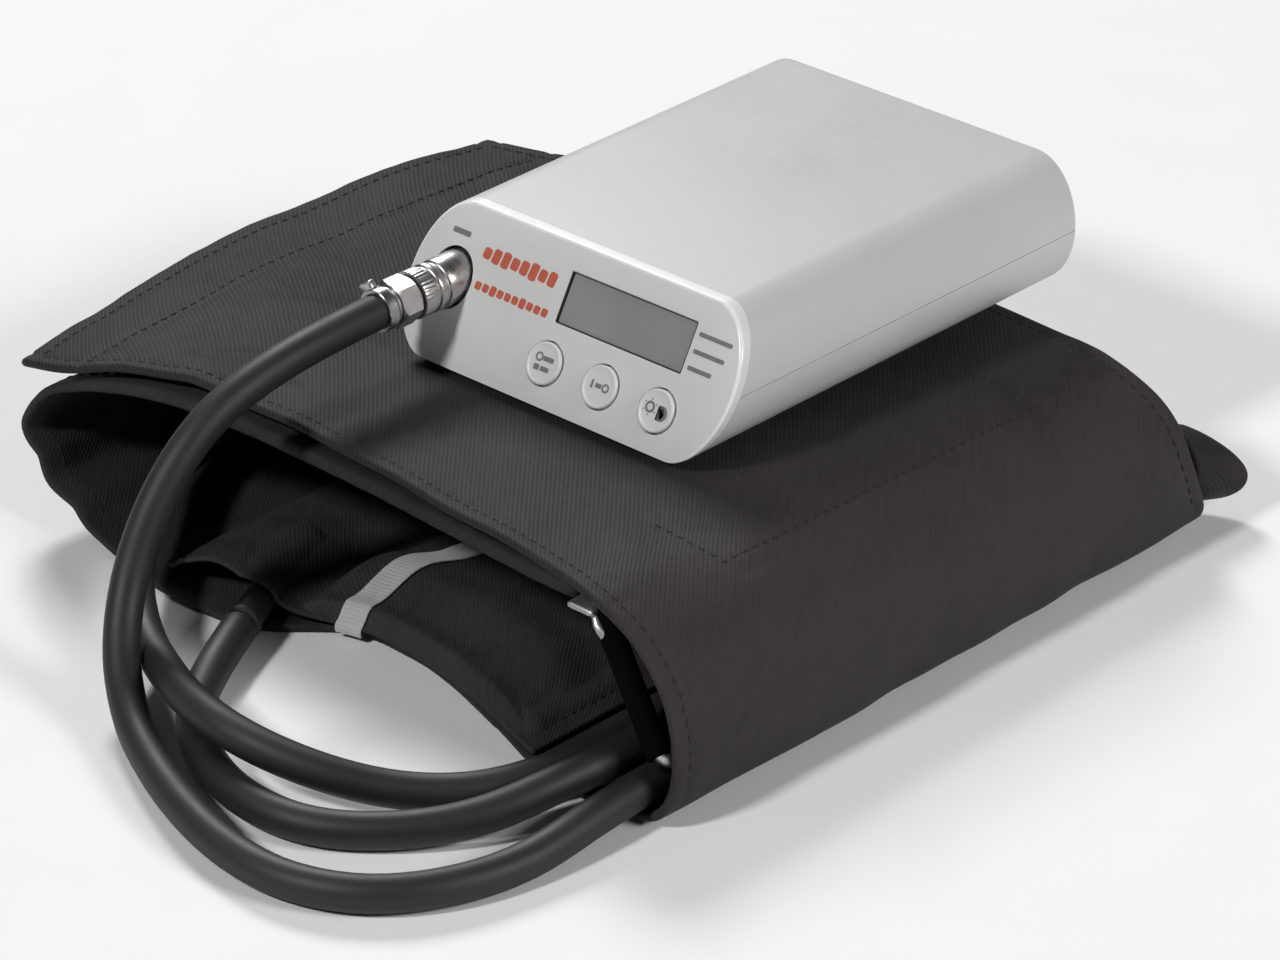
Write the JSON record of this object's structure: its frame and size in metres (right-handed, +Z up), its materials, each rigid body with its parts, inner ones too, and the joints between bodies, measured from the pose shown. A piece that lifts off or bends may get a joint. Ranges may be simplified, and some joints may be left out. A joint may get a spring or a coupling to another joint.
{
  "type": "ambulatory blood pressure monitor",
  "caption": "Portable blood pressure recorder with display and keys, resting on its folded cloth arm cuff, joined to it by a looped air hose with a metal quick coupling",
  "frame": {"origin": "on the underside of the folded cuff, where it rests on the table, below the middle of the recorder", "axes": "+X to the right as the recorder's display is read, +Y from the display towards the recorder's back, +Z up from the table"},
  "size_m": [0.1821, 0.2245, 0.065],
  "materials": {
    "shell": "light grey, finely textured",
    "panel": "mid grey, satin",
    "window": "grey display window, glossy",
    "lcd": "display cell",
    "button": "grey keys, satin",
    "steel": "nickel plated, satin",
    "board": "green circuit board",
    "cloth": "charcoal woven nylon",
    "cloth_inner": "charcoal loop pile",
    "hose": "black-grey, satin",
    "rubber": "black",
    "tape": "light grey printed tape",
    "cell": "blue wrapper",
    "tray": "grey",
    "motor": "plated",
    "black_plastic": "black",
    "hook": "black hook tape"
  },
  "bodies": {
    "cuff": {"cuff_flap": "cloth", "cuff_panel": "cloth_inner", "air_bladder": "rubber", "bladder_cover": "cloth_inner", "bladder_tube": "hose", "hook_patch": "hook", "range_tape": "tape", "metal_ring": "steel", "ring_loop": "cloth_inner", "fold_tongue": "cloth", "air_hose": "hose"},
    "recorder": {"front_panel": "panel", "upper_shell": "shell", "lower_shell": "shell", "case_screw_1": "steel", "case_screw_2": "steel", "case_screw_3": "steel", "case_screw_4": "steel", "battery_tray": "tray", "battery_cell_1": "cell", "battery_cell_2": "cell", "contact_plate_1": "steel", "contact_plate_2": "steel", "contact_spring_1": "steel", "contact_spring_2": "steel", "main_board": "board", "pump_motor": "motor", "pump_head": "black_plastic", "release_valve": "black_plastic", "pressure_sensor": "black_plastic", "sounder": "black_plastic", "air_tube": "rubber", "display_window": "window", "lcd_module": "lcd", "key_board": "board", "dome_switch_left": "steel", "dome_switch_centre": "steel", "dome_switch_right": "steel", "port_cup": "panel", "port_nipple": "steel", "port_o_ring": "rubber", "coupling_body": "steel", "coupling_spring": "steel"},
    "button_left": {"button_left": "button"},
    "button_centre": {"button_centre": "button"},
    "button_right": {"button_right": "button"},
    "coupling_sleeve": {"coupling_sleeve": "steel"},
    "battery_door": {"battery_door": "shell"}
  },
  "joints": [
    {"name": "monitor_lift", "type": "slide", "parent": "cuff", "child": "recorder", "axis": [0, 0, 1], "range_m": [0, 0.03]},
    {"name": "button_left_press", "type": "slide", "parent": "recorder", "child": "button_left", "axis": [0, 0.8618, -0.5072], "range_m": [0, 0.0006], "stiffness_N_per_m": 800},
    {"name": "button_centre_press", "type": "slide", "parent": "recorder", "child": "button_centre", "axis": [0, 0.8618, -0.5072], "range_m": [0, 0.0006], "stiffness_N_per_m": 800},
    {"name": "button_right_press", "type": "slide", "parent": "recorder", "child": "button_right", "axis": [0, 0.8618, -0.5072], "range_m": [0, 0.0006], "stiffness_N_per_m": 800},
    {"name": "coupling_release", "type": "slide", "parent": "recorder", "child": "coupling_sleeve", "axis": [0, 1, 0], "range_m": [0, 0.0012], "stiffness_N_per_m": 600},
    {"name": "battery_door_slide", "type": "slide", "parent": "recorder", "child": "battery_door", "axis": [0, 1, 0], "range_m": [0, 0.025]}
  ]
}
